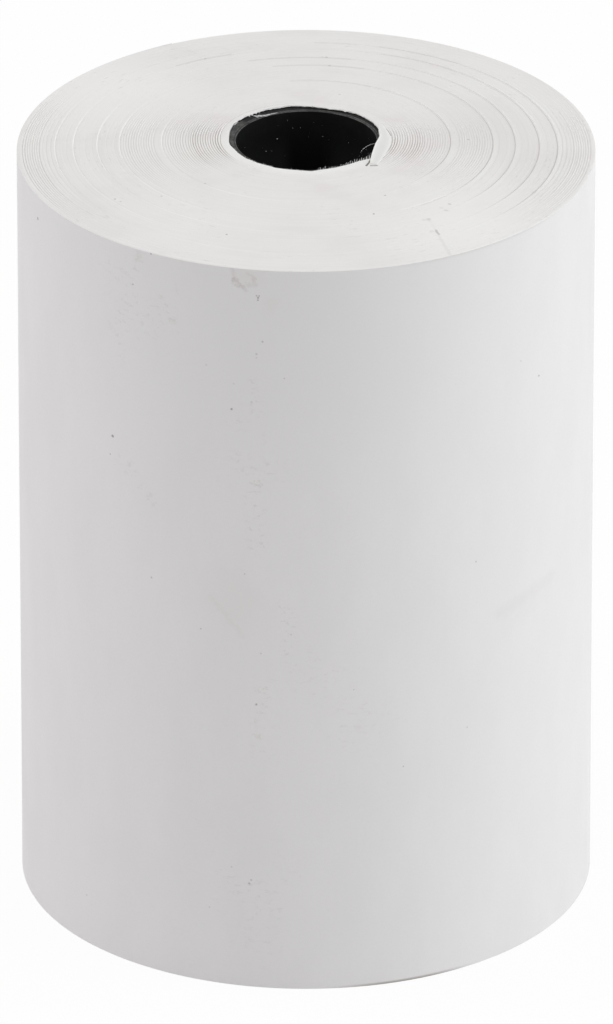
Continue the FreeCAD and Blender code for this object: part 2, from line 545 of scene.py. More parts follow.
def tubes(name, paths, thickness, sides=5):
    """Thin closed spindles along paths, as one piece: fibres and hairs."""
    points, faces = [], []
    for path in paths:
        faces += loft_faces(len(path), sides, len(points))
        for place, point in enumerate(path):
            ahead = path[min(place + 1, len(path) - 1)] - path[max(place - 1, 0)]
            across = ahead.cross(OFF_AXIS).normalized()
            other = ahead.cross(across).normalized()
            taper = math.sin(math.pi * (0.12 + 0.80 * place / (len(path) - 1)))
            for side in range(sides):
                turn = 2 * math.pi * side / sides
                offset = across * math.cos(turn) + other * math.sin(turn)
                points.append(point + offset * thickness / 2 * taper)
    return mesh_piece(name, points, faces, sharp=60)


def polar(radius, degrees, height):
    turn = math.radians(degrees)
    return Vector((radius * math.cos(turn), radius * math.sin(turn), height))


# ---------------- the strip's two ends

# The folded end, station by station towards the front: y, the crease's x, the free edge's x.
FOLD = (
    (2.45, 5.38, 5.41), (1.75, 5.17, 5.66), (0.90, 5.20, 5.90), (0.25, 5.27, 6.06),
    (-0.40, 5.14, 6.10), (-1.15, 4.95, 6.03), (-1.95, 4.82, 5.87), (-2.85, 4.69, 5.63),
    (-3.55, 4.60, 5.38), (-4.05, 4.55, 5.20), (-4.42, 4.55, 5.06),
)

# How many stations are drawn, where a section has points from crease to free edge, and how
# high the crease stands.
FOLD_STATIONS = 34
FLAP_PARTS = (0.12, 0.22, 0.40, 0.60, 0.78, 0.92)
FOLD_RISE = 0.185 * MM

# The tail: the length that comes off the roll, how far it's sunk at its start and lifted at
# its end, and how finely it's drawn.
TAIL_REACH = 7.5 * MM
TAIL_SUNK = 0.055 * MM
TAIL_LIFT = 0.16 * MM
TAIL_BANDS, TAIL_ROWS = 26, 12


def folded_end():
    """The strip's inner end, folded out over the core's rim with a soft crease by the bore."""
    places, creases, edges = np.array(FOLD)[::-1].T * MM
    points, hollow = [], []
    for station in range(FOLD_STATIONS):
        share = station / (FOLD_STATIONS - 1)
        y = places[0] + (places[-1] - places[0]) * share
        section = fold_section(np.interp(y, places, creases), np.interp(y, places, edges), share)
        points += [(x, y, z) for x, z in section]
        # How much painted shade each point gets: most across the middle of the flap.
        hollow += [0.0] * 4 + [math.sin(math.pi * part) ** 0.7 for part in FLAP_PARTS] + [0.0] * 3
    faces = loft_faces(FOLD_STATIONS, len(section))
    piece = mesh_piece("folded_end", points, faces, sharp=55)
    set_attribute(piece, "hollow", "POINT", hollow)
    return piece


def fold_section(crease, edge, share):
    """A closed outline of (x, z): up the crease, across the flap and back underneath."""
    rise = FOLD_RISE * (0.40 + 0.60 * math.sin(math.pi * (0.12 + 0.76 * (1 - share))))
    foot = CORE_TOP + 0.10 * MM
    flap = edge - crease
    section = [
        (crease + 0.03 * MM, foot), (crease - 0.010 * MM, foot + 0.6 * (FACE_TOP - foot)),
        (crease, FACE_TOP + rise * 0.86), (crease + 0.03 * MM, FACE_TOP + rise),
    ]
    for part in FLAP_PARTS:
        drop = rise * (1 - part) ** 1.2 + 0.045 * MM * part
        hollow = 0.030 * MM * math.sin(math.pi * part) * math.sin(2.5 * part + 4 * share)
        section.append((crease + flap * part, FACE_TOP + drop - hollow))
    return section + [
        (edge, FACE_TOP + 0.035 * MM), (edge, FACE_TOP - 0.09 * MM), (crease + flap * 0.5, foot),
    ]


def tail_end():
    """The loose outer end of the strip, standing a little off the turn below it."""
    points = []
    for skin in (0.0, PAPER):
        for row in range(TAIL_ROWS + 1):
            height = row / TAIL_ROWS * (STRIP_WIDTH - EDGE_DROP)
            flare = 0.75 + 0.25 * math.cos(math.pi * (2 * row / TAIL_ROWS - 0.8))
            for band in range(TAIL_BANDS + 1):
                share = band / TAIL_BANDS
                angle = TAIL_ANGLE + TAIL_REACH / ROLL_RADIUS * (1 - share)
                radius = ROLL_RADIUS - TAIL_SUNK + skin + TAIL_LIFT * flare * share ** 2.2
                points.append((radius * math.cos(angle), radius * math.sin(angle), height))
    return mesh_piece("tail_end", points, slab_faces(TAIL_ROWS, TAIL_BANDS), sharp=50)


# ---------------- the core

# The rim: how finely it's drawn, its broken inner edge and its burr, how far below it the tube
# starts to follow the paper's mouth, how close to that it comes, and how far out.
CORE_SEGMENTS = 240
BROKEN_EDGE = 0.045 * MM
BURR = 0.08 * MM
LIP_START = 1.2 * MM
LIP_GAP = 0.03 * MM
LIP_SPREAD = 0.42 * MM


def core_section(lip, draw):
    """A closed outline of (radius, height) from the bore's foot, up outside and over the rim."""
    crest = CORE_TOP + BURR - draw.uniform(0.0, 0.035) * MM
    thick = draw.uniform(0.045, 0.085) * MM
    edge = BORE_RADIUS + BROKEN_EDGE
    foot = lip - 1.5 * thick
    outline = [
        (BORE_RADIUS, CORE_BOTTOM + BROKEN_EDGE), (edge, CORE_BOTTOM),
        (CORE_RADIUS, CORE_BOTTOM), (CORE_RADIUS, CORE_TOP - LIP_START),
        (lip, CORE_TOP - 0.10 * MM), (lip, crest - 0.01 * MM),
        (lip - 0.4 * thick, crest), (lip - thick, crest - 0.015 * MM),
        (lip - 1.25 * thick, CORE_TOP + 0.01 * MM),
    ]
    for part in (0.25, 0.5, 0.75):
        outline.append((foot + (edge - foot) * part, CORE_TOP - draw.uniform(0.0, 0.014) * MM))
    return outline + [
        (edge, CORE_TOP - draw.uniform(0.0, 0.008) * MM),
        (BORE_RADIUS + 0.55 * BROKEN_EDGE, CORE_TOP - 0.02 * MM),
        (BORE_RADIUS, CORE_TOP - BROKEN_EDGE), (BORE_RADIUS, CORE_TOP - LIP_START),
    ]


def core_tube():
    """The plastic tube: a cut rim with a thin raised burr, and a bore with a broken edge."""
    draw = random.Random(SEED + 3)
    mouth = mouth_radius(np.arange(CORE_SEGMENTS) * 2 * math.pi / CORE_SEGMENTS)
    lips = np.clip(mouth - LIP_GAP, CORE_RADIUS, CORE_RADIUS + LIP_SPREAD)
    return turned("core_tube", [core_section(float(lip), draw) for lip in lips])


# ---------------- fibres and dust

# Rows of torn fibres: their first place and step in degrees, how many, how long in mm.
FUZZ_ROWS = ((322.5, 2.05, 11, 0.23), (299.5, 2.3, 6, 0.15), (284.5, 1.9, 4, 0.18))
LONGEST_FUZZ = 0.25

# The longer fibre's bends, in mm.
FIBRE = (
    (5.02, -0.93, 57.86), (4.80, -1.06, 57.88), (4.58, -1.24, 57.88), (4.36, -1.47, 57.87),
    (4.17, -1.70, 57.84), (4.03, -1.90, 57.80), (3.93, -2.11, 57.76), (3.89, -2.29, 57.70),
)

# The specks that can be told apart in the bore: degrees, depth below the rim and size in mm.
DUST = (
    (114.5, 2.0, 0.050), (125.0, 2.77, 0.036), (119.6, 2.85, 0.024), (101.3, 1.30, 0.026),
    (94.7, 1.32, 0.026), (151.3, 1.70, 0.026), (128.5, 2.41, 0.026), (76.6, 1.94, 0.026),
    (53.1, 2.05, 0.030),
)

# The faces of a speck between its six corners, two on each axis.
OCTAHEDRON = (
    (5, 2, 0), (5, 1, 2), (5, 3, 1), (5, 0, 3), (4, 0, 2), (4, 2, 1), (4, 1, 3), (4, 3, 0),
)

# The pale streak on the rim, rubbed dust with a painted highlight: its start and turn in
# degrees, its radius and how far in it moves, how high it stands and how far it's sunk.
SCUFF_START, SCUFF_TURN = 132.0, -19.0
SCUFF_RADIUS = 5.52 * MM
SCUFF_SHIFT = 0.34 * MM
SCUFF_HEIGHT = 0.010 * MM
SCUFF_SUNK = 0.02 * MM


def edge_fuzz():
    """Torn paper fibres along the near edge of the paper's bore, most of them on the right."""
    draw = random.Random(SEED + 1)
    places = [
        (first - step * number, size)
        for first, step, count, size in FUZZ_ROWS for number in range(count)
    ]
    places += [(draw.uniform(215, 321), 0.08) for _ in range(26)]
    up, shares = Vector((0.0, 0.0, 1.0)), (0, 1 / 3, 2 / 3, 1)
    hairs = []
    for degrees, size in places:
        degrees += draw.uniform(-0.35, 0.35)
        edge = float(mouth_radius(math.radians(degrees)))
        root = polar(edge + 0.03 * MM, degrees, FACE_TOP - 0.02 * MM)
        reach = min(size * draw.uniform(0.65, 1.25), LONGEST_FUZZ) * MM
        inward = -Vector((root.x, root.y, 0)).normalized() * draw.uniform(0.2, 0.5)
        lean = Vector((draw.uniform(-0.15, 0.45), 0.0, 0.0))
        hairs.append([root + (inward + lean * share + up) * share * reach for share in shares])
    return tubes("edge_fuzz", hairs, 0.031 * MM, sides=4)


def stray_fibre():
    """One longer fibre that curls out from under the fold, over the bore."""
    return tubes("stray_fibre", [[Vector(point) * MM for point in FIBRE]], 0.019 * MM)


def bore_dust():
    """Specks of paper dust on the wall of the bore."""
    draw = random.Random(SEED + 2)
    places = list(DUST)
    for _ in range(34):
        size = draw.uniform(0.008, 0.017)
        places.append((draw.uniform(25, 165), draw.uniform(0.6, 4.2), size))
    points, faces = [], []
    for degrees, depth, size in places:
        centre = polar(BORE_RADIUS - 0.3 * size * MM, degrees, CORE_TOP - depth * MM)
        faces += [tuple(len(points) + number for number in face) for face in OCTAHEDRON]
        for axis in ((1, 0, 0), (0, 1, 0), (0, 0, 1)):
            for sign in (-1, 1):
                reach = size * draw.uniform(0.6, 1.2) * MM
                points.append(centre + Vector(axis) * sign * reach)
    return mesh_piece("bore_dust", points, faces, sharp=180)


def dust_glint_rim_streak():
    """A pale streak along the core's rim: rubbed dust, and a painted highlight on the rim."""
    bands = 30
    points = []
    for sunk in (True, False):
        for row in (-1, 0, 1):
            for band in range(bands + 1):
                share = band / bands
                half = 0.17 * MM * (1 - share) ** 1.3 + 0.07 * MM * (1 - share ** 6)
                half *= 0.85 + 0.15 * math.sin(37 * share)
                radius = SCUFF_RADIUS - SCUFF_SHIFT * min(share / 0.40, 1.0) + row * half
                crown = SCUFF_HEIGHT if row == 0 else SCUFF_HEIGHT * 0.2
                height = CORE_TOP + (-SCUFF_SUNK if sunk else crown)
                points.append(polar(radius, SCUFF_START + SCUFF_TURN * share, height))
    return mesh_piece("dust_glint_rim_streak", points, slab_faces(2, bands), sharp=60)


# ---------------- materials in general

class Nodes:
    """A node tree whose nodes are added one call at a time."""

    def __init__(self, tree):
        self.tree = tree

    def link(self, value, socket):
        """Links another node's output to a socket, or sets it to a plain value."""
        if isinstance(value, bpy.types.NodeSocket):
            self.tree.links.new(value, socket)
        else:
            socket.default_value = value

    def add(self, kind, inputs=(), output=0, **settings):
        """One node's output. The inputs go by number or name."""
        node = self.tree.nodes.new("ShaderNode" + kind)
        for name, value in settings.items():
            setattr(node, name, value)
        for key, value in dict(inputs).items():
            self.link(value, node.inputs[key])
        return node.outputs[output]

    def maths(self, operation, first, second=0.0, clamp=False):
        return self.add("Math", {0: first, 1: second}, operation=operation, use_clamp=clamp)

    def times(self, first, second, clamp=False):
        return self.maths("MULTIPLY", first, second, clamp)

    def vector(self, operation, first, second=(0.0, 0.0, 0.0)):
        """Maths with vectors. A length, distance or dot product comes out as a number."""
        output = int(operation in ("LENGTH", "DISTANCE", "DOT_PRODUCT"))
        return self.add("VectorMath", {0: first, 1: second}, output, operation=operation)

    def split(self, vector):
        """The x, y and z of a vector."""
        return list(self.add("SeparateXYZ", {0: vector}).node.outputs)

    def noise(self, vector, scale, detail=2.0, rough=0.5, output=0):
        """Noise, about 0.5 in the middle. The scale is in bumps a metre."""
        inputs = {"Vector": vector, "Scale": scale, "Detail": detail, "Roughness": rough}
        return self.add("TexNoise", inputs, output)

    def ramp(self, value, low, high, to_low=0.0, to_high=1.0):
        """A smooth change from one number to another, while the value goes from low to high."""
        inputs = {"Value": value, "From Min": low, "From Max": high}
        inputs.update({"To Min": to_low, "To Max": to_high})
        return self.add("MapRange", inputs, interpolation_type="SMOOTHSTEP")

    def mix(self, factor, first, second):
        """A colour that goes from the first to the second."""
        return self.add("Mix", {0: factor, 6: first, 7: second}, 2, data_type="RGBA")

    def near(self, vector, centre, size, soft=0.55):
        """1 within a distance of a point, fading to 0 at its size."""
        gap = self.vector("DISTANCE", vector, tuple(centre))
        return self.ramp(gap, size * (1 - soft), size, 1.0, 0.0)

    def near_line(self, vector, start, end, size, soft=0.55):
        """1 on the line between two points, fading to 0 at this distance from it."""
        run = end - start
        gone = self.vector("SUBTRACT", vector, tuple(start))
        along = self.vector("DOT_PRODUCT", gone, tuple(run))
        share = self.times(along, 1 / run.length_squared, clamp=True)
        foot = self.add("VectorMath", {0: tuple(run), "Scale": share}, operation="SCALE")
        gap = self.vector("DISTANCE", gone, foot)
        return self.ramp(gap, size * (1 - soft), size, 1.0, 0.0)

    def near_path(self, vector, points, size, soft=0.55):
        """1 on a bent line through points, fading to 0 at this distance from it."""
        amount = 0.0
        for start, end in zip(points, points[1:]):
            amount = self.maths("MAXIMUM", self.near_line(vector, start, end, size, soft), amount)
        return amount

    def round_axis(self, vector, radial, around, axial):
        """A place for noise that is drawn out round the axis.

        The direction from the axis, the radius and the height each have their own scale.
        """
        x, y, z = self.split(vector)
        radius = self.maths("SQRT", self.maths("ADD", self.times(x, x), self.times(y, y)))
        cosine = self.times(self.maths("DIVIDE", x, radius), around)
        sine = self.times(self.maths("DIVIDE", y, radius), around)
        rest = self.maths("ADD", self.times(radius, radial), self.times(z, axial))
        return self.add("CombineXYZ", {0: cosine, 1: sine, 2: rest})

    def ragged(self, vector, amount, scale):
        """The place, shaken by noise, so that a round mark gets a ragged edge."""
        shake = self.noise(vector, scale, 3.0, output=1)
        centred = self.vector("SUBTRACT", shake, (0.5, 0.5, 0.5))
        return self.vector("ADD", vector, self.vector("MULTIPLY", centred, (amount,) * 3))


class Shader(Nodes):
    """A material with one principled surface."""

    def __init__(self, name):
        self.material = bpy.data.materials.new(name)
        self.material.use_nodes = True
        super().__init__(self.material.node_tree)
        self.surface = self.tree.nodes["Principled BSDF"]
        self.colour = rgb(1.0)

    def place(self):
        """The point on the piece, in the row frame, in metres."""
        return self.add("TexCoord", output=3)

    def attribute(self, name):
        """A number that the mesh has at each face or point."""
        return self.add("Attribute", output="Fac", attribute_name=name)

    def tint(self, amount, colour):
        """Puts this much of another colour over the material's own."""
        self.colour = self.mix(amount, self.colour, colour)

    def marks(self, vector, spots, colour, soft=0.55):
        """Tints spots. Each spot is (centre, size, strength)."""
        for centre, size, strength in spots:
            self.tint(self.times(self.near(vector, centre, size, soft), strength), colour)

    def trails(self, vector, paths, colour, soft=0.55):
        """Tints bent lines. Each path is (its points, half its width, strength)."""
        for points, size, strength in paths:
            self.tint(self.times(self.near_path(vector, points, size, soft), strength), colour)

    def bump(self, height, strength, distance):
        inputs = {"Height": height, "Strength": strength, "Distance": distance}
        self.link(self.add("Bump", inputs), self.surface.inputs["Normal"])

    def finish(self, rough, gloss):
        self.link(self.colour, self.surface.inputs["Base Color"])
        self.link(rough, self.surface.inputs["Roughness"])
        self.link(gloss, self.surface.inputs["Specular IOR Level"])
        return self.material


def rgb(*parts):
    """A colour for a socket, from its red, green and blue, or from one grey."""
    return (*(parts * (3 // len(parts))), 1.0)


def on_wall(degrees, height):
    """A point on the outer wall: degrees from the front towards +X, height in millimetres."""
    return polar(ROLL_RADIUS, degrees - 90.0, height * MM)


def on_face(x, y):
    """A point on the upper face, seen from above, from millimetres."""
    return Vector((x * MM, y * MM, 0.0))


def spots(put, rows):
    """Round marks from rows of (two coordinates, size in mm, strength)."""
    return [(put(first, second), size * MM, strength) for first, second, size, strength in rows]


def lines(put, rows):
    """Bent lines from rows of (points, half the width in mm, strength)."""
    return [
        ([put(*point) for point in points], size * MM, strength)
        for points, size, strength in rows
    ]


# ---------------- the strip's smooth side

WHITE, WHITE_CLOUD = rgb(0.822, 0.803, 0.807), rgb(0.806, 0.787, 0.791)
WALL_SHADE = rgb(0.775, 0.759, 0.762)
WALL_GRAIN = rgb(0.75, 0.737, 0.737)
DIRT = rgb(0.115, 0.085, 0.065)
SMUDGE = rgb(0.50, 0.43, 0.38)
ROSE = rgb(0.765, 0.715, 0.715)
DRIED = rgb(0.34, 0.27, 0.23)
# A warm grey: along the wall's top edge, and for the painted shade below the lit ridge on the
# face.
WARM_GREY = rgb(0.45, 0.42, 0.40)
FOOT_GREY = rgb(0.34, 0.30, 0.27)

# Specks on the outer wall: degrees from the front, height and size in mm, and how dark. The
# first four are the small fork below the stain.
WALL_SPECKS = (
    (-9.75, 54.95, 0.10, 0.40), (-9.25, 54.95, 0.10, 0.35), (-9.5, 54.80, 0.12, 0.50),
    (-9.5, 54.62, 0.10, 0.45),
    (-41.7, 41.6, 0.15, 0.60), (-42.4, 40.1, 0.09, 0.35), (-14.8, 45.9, 0.13, 0.55),
    (-8.6, 51.4, 0.12, 0.32), (-4.3, 48.6, 0.10, 0.26), (53.2, 44.9, 0.12, 0.45),
    (47.5, 46.8, 0.10, 0.35), (-32.2, 31.4, 0.10, 0.35), (-9.9, 22.7, 0.12, 0.45),
    (9.4, 23.9, 0.09, 0.30), (33.8, 19.3, 0.10, 0.35), (35.8, 32.3, 0.10, 0.35),
    (19.6, 17.3, 0.10, 0.35), (-67.3, 55.2, 0.15, 0.50), (-49.9, 3.8, 0.09, 0.30),
    (-21.3, 28.2, 0.10, 0.30), (-9.0, 26.8, 0.10, 0.25), (-3.0, 28.4, 0.10, 0.25),
    (-36.3, 54.1, 0.11, 0.30), (-32.0, 56.9, 0.11, 0.40), (-12.2, 33.0, 0.10, 0.25),
    (-11.4, 8.3, 0.13, 0.35), (-11.0, 8.6, 0.10, 0.30), (-15.0, 9.5, 0.10, 0.25),
    (-19.6, 6.0, 0.09, 0.25), (-10.8, 46.6, 0.12, 0.18), (-9.8, 50.4, 0.13, 0.22),
    (-9.8, 50.1, 0.10, 0.18), (-20.0, 49.1, 0.12, 0.12), (-14.4, 47.9, 0.12, 0.12),
)

# The edges of a dried stain: (points of degrees and height, half the width in mm, how dark).
WALL_STAIN = (
    (((-14.7, 57.00), (-14.5, 56.65), (-14.1, 56.30), (-14.1, 55.95)), 0.27, 0.14),
    (((-14.1, 56.10), (-13.9, 55.80), (-13.2, 55.68), (-12.8, 55.62)), 0.27, 0.22),
    (((-12.8, 55.62), (-12.3, 55.48), (-12.1, 55.38), (-12.0, 55.28)), 0.27, 0.14),
    (((-11.6, 56.62), (-10.9, 56.45), (-10.3, 56.25)), 0.27, 0.11),
    (((-10.3, 56.20), (-9.8, 55.90), (-10.2, 55.78), (-11.4, 55.72)), 0.27, 0.13),
)

# Faint smears on the wall, with the same columns.
WALL_SMEARS = (
    (((-19.3, 30.9), (-16.0, 29.5), (-12.4, 28.0)), 0.34, 0.055),
    (((42.0, 27.5), (50.0, 28.0), (58.0, 28.3)), 0.85, 0.065),
    (((-40.3, 54.95), (-38.9, 54.9), (-37.5, 54.7)), 0.19, 0.08),
    (((-28.2, 52.2), (-25.8, 52.15)), 0.19, 0.08),
    (((-42.8, 50.5), (-41.9, 50.3)), 0.26, 0.08),
    (((-26.4, 54.9), (-26.0, 54.3)), 0.22, 0.07),
    (((-42.6, 50.0), (-41.0, 50.1)), 0.15, 0.08),
)

# Chains of blots, rosy ones and a brown one: where each starts and ends in degrees and height,
# how many, their size in mm and how strong.
ROSY_CHAINS = (
    ((-13.4, 56.6), (-10.0, 56.2), 4, 1.05, 0.15),
    ((44.0, 26.4), (56.0, 27.4), 4, 1.1, 0.08),
    ((-17.5, 32.2), (-10.0, 29.5), 5, 3.0, 0.07),
    ((-6.8, 54.4), (-6.4, 54.2), 2, 0.7, 0.20),
    ((-25.6, 56.9), (-25.0, 56.9), 2, 0.4, 0.25),
)
BROWN_CHAIN = ((-34.9, 56.8), (-34.5, 56.2), 2, 0.45, 0.10)

# Where the wall is rubbed in patches: degrees, height and radius in mm.
WALL_RUBBED = ((-11.0, 7.5, 8.5), (5.0, 23.5, 8.0), (-9.0, 43.0, 6.5), (-36.0, 53.0, 6.0))

# Where it's scuffed most: (points of degrees and height, half the width in mm, how much).
WALL_SCUFFS = (
    (((-10.3, 40.2), (-9.7, 35.3)), 1.1, 1.8),
    (((-13.2, 42.0), (-13.2, 40.2)), 0.8, 1.3),
    (((-10.4, 48.2), (-9.8, 45.6)), 0.8, 1.2),
    (((-3.8, 30.4), (-3.0, 25.4)), 1.2, 1.4),
    (((-8.4, 24.5), (-9.4, 18.6)), 1.2, 1.3),
    (((-35.6, 56.0), (-39.5, 50.6)), 1.5, 1.3),
    (((-39.4, 50.6), (-40.4, 47.0)), 0.9, 1.1),
    (((-39.0, 40.2), (-35.0, 38.6), (-31.2, 37.4)), 1.0, 1.2),
    (((-29.5, 53.6), (-27.4, 52.0)), 0.9, 1.2),
)


def chain(start, end, count, size, strength):
    """A chain of blots between two places on the wall."""
    turns, heights = (np.linspace(first, last, count) for first, last in zip(start, end))
    return spots(on_wall, [(turn, high, size, strength) for turn, high in zip(turns, heights)])


def wall_tone(shader, place, cloud):
    """White paper with a faint mottle, a little darker under the front edge."""
    shader.colour = shader.mix(shader.ramp(cloud, 0.3, 0.7), WHITE, WHITE_CLOUD)
    shader.marks(place, spots(on_wall, [(-6.0, 57.0, 26.0, 0.75)]), WALL_SHADE, 1.0)
    grain = shader.noise(place, 4200.0, 3.0, 0.6)
    shader.tint(shader.ramp(grain, 0.40, 0.78, 0.0, 0.16), WALL_GRAIN)


def wall_scuffs(shader, place):
    """Fine scuffs where the roll was handled."""
    rubbed = 0.0
    for degrees, high, size in WALL_RUBBED:
        spot = shader.near(place, on_wall(degrees, high), size * MM, 1.0)
        rubbed = shader.maths("MAXIMUM", spot, rubbed)
    patches = shader.ramp(shader.noise(place, 210.0), 0.44, 0.60)
    rubbed = shader.times(patches, rubbed)
    for points, size, amount in lines(on_wall, WALL_SCUFFS):
        for start, end in zip(points, points[1:]):
            line = shader.times(shader.near_line(place, start, end, size, 1.0), amount)
            rubbed = shader.maths("MAXIMUM", line, rubbed)
    scuffs = shader.noise(shader.vector("MULTIPLY", place, (0.6, 0.6, 1.0)), 2900.0, 3.0, 0.75)
    scuffs = shader.times(shader.ramp(scuffs, 0.52, 0.72), rubbed)
    shader.tint(shader.times(scuffs, 0.20), SMUDGE)


def wall_stains(shader, place):
    """The stain below the front edge, the rosy and brown blots, and the smears."""
    ragged = shader.ragged(place, 1.5 * MM, 1300.0)
    rosy = [blot for row in ROSY_CHAINS for blot in chain(*row)]
    shader.marks(ragged, rosy, ROSE)
    shader.marks(ragged, chain(*BROWN_CHAIN), SMUDGE)
    softer = shader.ragged(place, 0.75 * MM, 2900.0)
    shader.trails(softer, lines(on_wall, WALL_SMEARS), SMUDGE, 0.9)
    shader.trails(softer, lines(on_wall, WALL_STAIN), DRIED, 0.9)


def wall_edges(shader, place):
    """Greyer along the top edge on the right and along the bottom edge in front."""
    height = shader.split(place)[2]
    flat = shader.vector("MULTIPLY", place, (1, 1, 0))
    rim = shader.ramp(height, STRIP_WIDTH - 0.30 * MM, STRIP_WIDTH - 0.12 * MM)
    patch = shader.near(flat, on_wall(38.0, 0), 10.0 * MM, 0.6)
    shader.tint(shader.times(shader.times(rim, patch), 0.16), WARM_GREY)
    foot = shader.ramp(height, 0.04 * MM, 0.26 * MM, 1.0, 0.0)
    patch = shader.near(flat, on_wall(20.0, 0), 6.2 * MM, 0.8)
    shader.tint(shader.times(shader.times(foot, patch), 0.80), FOOT_GREY)


def wall_paper():
    """The strip's smooth side, with faint mottle, scuffs and the dirt of handling."""
    shader = Shader("paper_wall")
    place = shader.place()
    cloud = shader.noise(shader.vector("MULTIPLY", place, (260, 260, 110)), 1.0, 4.0, 0.6)
    wall_tone(shader, place, cloud)
    wall_scuffs(shader, place)
    wall_stains(shader, place)
    wall_edges(shader, place)
    sharp = shader.ragged(place, 0.10 * MM, 6000.0)
    shader.marks(sharp, spots(on_wall, WALL_SPECKS), DIRT)
    fibres = shader.noise(place, 2600.0, 5.0, 0.65)
    tension = shader.noise(shader.round_axis(place, 0, 22, 12), 1.0, 3.0)
    shader.bump(shader.maths("ADD", fibres, shader.times(tension, 5.0)), 0.30, 0.006 * MM)
    return shader.finish(shader.ramp(cloud, 0.3, 0.7, 0.52, 0.62), gloss=0.15)


# ---------------- the strip's cut edges

EDGE_WHITE, EDGE_RINGS = rgb(0.842, 0.830, 0.817), rgb(0.818, 0.806, 0.792)
EDGE_LIGHTER = rgb(0.892, 0.880, 0.870)
EDGE_DARKER = rgb(0.735, 0.722, 0.712)
MOUTH_LIGHTER = rgb(0.880, 0.872, 0.862)
DARK_DASH, PALE_DASH = rgb(0.55, 0.52, 0.50), rgb(0.93, 0.92, 0.91)
# Painted highlight for the steps' flanks, and painted shade for their gaps.
FLANK_HIGHLIGHT, GAP_SHADE = rgb(0.925, 0.918, 0.910), rgb(0.36, 0.30, 0.27)
# Painted shade for the slit and the hollows beside the fold.
SLIT_SHADE = rgb(0.10, 0.08, 0.07)
HOLLOW_SHADE = rgb(0.20, 0.15, 0.13)
SCRATCH_GREY = rgb(0.30, 0.26, 0.25)
# Painted shade for the gaps at the back.
GAP_LINE_SHADE = rgb(0.40, 0.35, 0.32)
# Painted highlight for the ridge at the front right.
RIDGE_HIGHLIGHT = rgb(0.97, 0.96, 0.95)

# Lighter and darker regions of the face: x, y and size in mm, and how much.
FACE_LIGHTER = ((-14.5, 9.5, 10.5, 0.85), (11.0, -13.5, 9.0, 0.80), (-8.0, -13.0, 7.0, 0.35))
FACE_DARKER = ((13.0, 1.5, 8.0, 0.60), (-7.5, 0.8, 2.6, 0.5), (17.0, -3.0, 5.5, 0.40))

# Dark lines on the face: (points in mm, half the width in mm, how dark). The slit and the
# hollows beside the fold are painted shade, and the scratch is at the front right.
FACE_SLIT = ((((4.58, -3.66), (4.48, -4.10), (4.28, -4.62)), 0.095, 0.85),)
FACE_HOLLOWS = (
    (((4.62, -4.62), (5.02, -4.58)), 0.13, 0.60),
    (((5.40, 2.40), (5.80, 1.45), (6.06, 0.55)), 0.07, 0.50),
)
FACE_SCRATCH = (
    (((9.24, -14.6), (10.21, -18.1)), 0.19, 0.10),
    (((8.66, -12.7), (9.24, -14.6)), 0.15, 0.05),
    (((9.18, -14.35), (9.38, -14.95)), 0.14, 0.42),
)

# Grey blots round the scratch, and dark dots all over: x, y and size in mm, and how dark.
FACE_BLOTS = (
    (8.66, -12.74, 0.26, 0.22), (8.35, -12.85, 0.22, 0.12), (8.89, -14.56, 0.22, 0.12),
    (10.19, -10.28, 0.20, 0.26), (9.94, -11.27, 0.18, 0.20), (9.60, -10.9, 0.20, 0.10),
)
FACE_DOTS = (
    (-7.3, 15.0, 0.13, 0.25), (-5.64, -15.18, 0.11, 0.45), (4.78, -12.13, 0.12, 0.45),
    (1.46, 15.05, 0.16, 0.30), (1.15, 15.1, 0.12, 0.20), (1.67, 13.3, 0.12, 0.22),
    (5.6, -9.3, 0.11, 0.40), (2.4, 7.75, 0.12, 0.25), (11.6, 0.3, 0.12, 0.30),
    (-10.3, -9.1, 0.11, 0.25), (-13.6, -9.2, 0.12, 0.30), (-13.2, -9.6, 0.11, 0.22),
    (-7.2, -7.3, 0.10, 0.25),
)

# Where a loose turn's ridge gets a painted highlight at the front right: x and y in mm. The
# painted shade below it starts at its third point.
LIT_RIDGE = (
    (6.70, -11.35), (7.38, -11.00), (8.12, -10.45), (8.69, -10.03), (9.27, -9.45), (9.90, -8.90),
)
RIDGE_SHADE_SHIFT = Vector((0.04, -0.16, 0.0)) * MM

# Painted shade in the gaps at the back: share of the radius, first and last degrees, how dark.
SHADED_GAPS = (
    (0.723, 78, 106, 0.20), (0.646, 72, 100, 0.17), (0.500, 64, 96, 0.11), (0.806, 109, 124, 0.20),
    (0.869, 80, 88, 0.13), (0.869, 53, 73, 0.13), (0.806, 50, 71, 0.11),
)


def arc(radius, start, end):
    """Points every few degrees along an arc on the face."""
    count = max(2, round((end - start) / 6) + 1)
    return [polar(radius, degrees, 0.0) for degrees in np.linspace(start, end, count)]


def gap_shade_lines():
    """Lines of painted shade in the gaps at the back, and behind the mouth's loose innermost turn.
    """
    shaded = [
        (arc(share * ROLL_RADIUS, start, end), 0.16 * MM, dark)
        for share, start, end, dark in SHADED_GAPS
    ]
    loose = [
        polar(float(mouth_radius(math.radians(degrees))) + 0.32 * MM, degrees, 0.0)
        for degrees in range(98, 158, 8)
    ]
    return shaded + [(loose, 0.07 * MM, 0.30)]


def top_place(shader, place):
    """The place on the upper face, seen from above; the underside is put a metre away."""
    x, y, z = shader.split(place)
    under = shader.maths("LESS_THAN", z, STRIP_WIDTH / 2)
    return shader.add("CombineXYZ", {0: x, 1: y, 2: under})


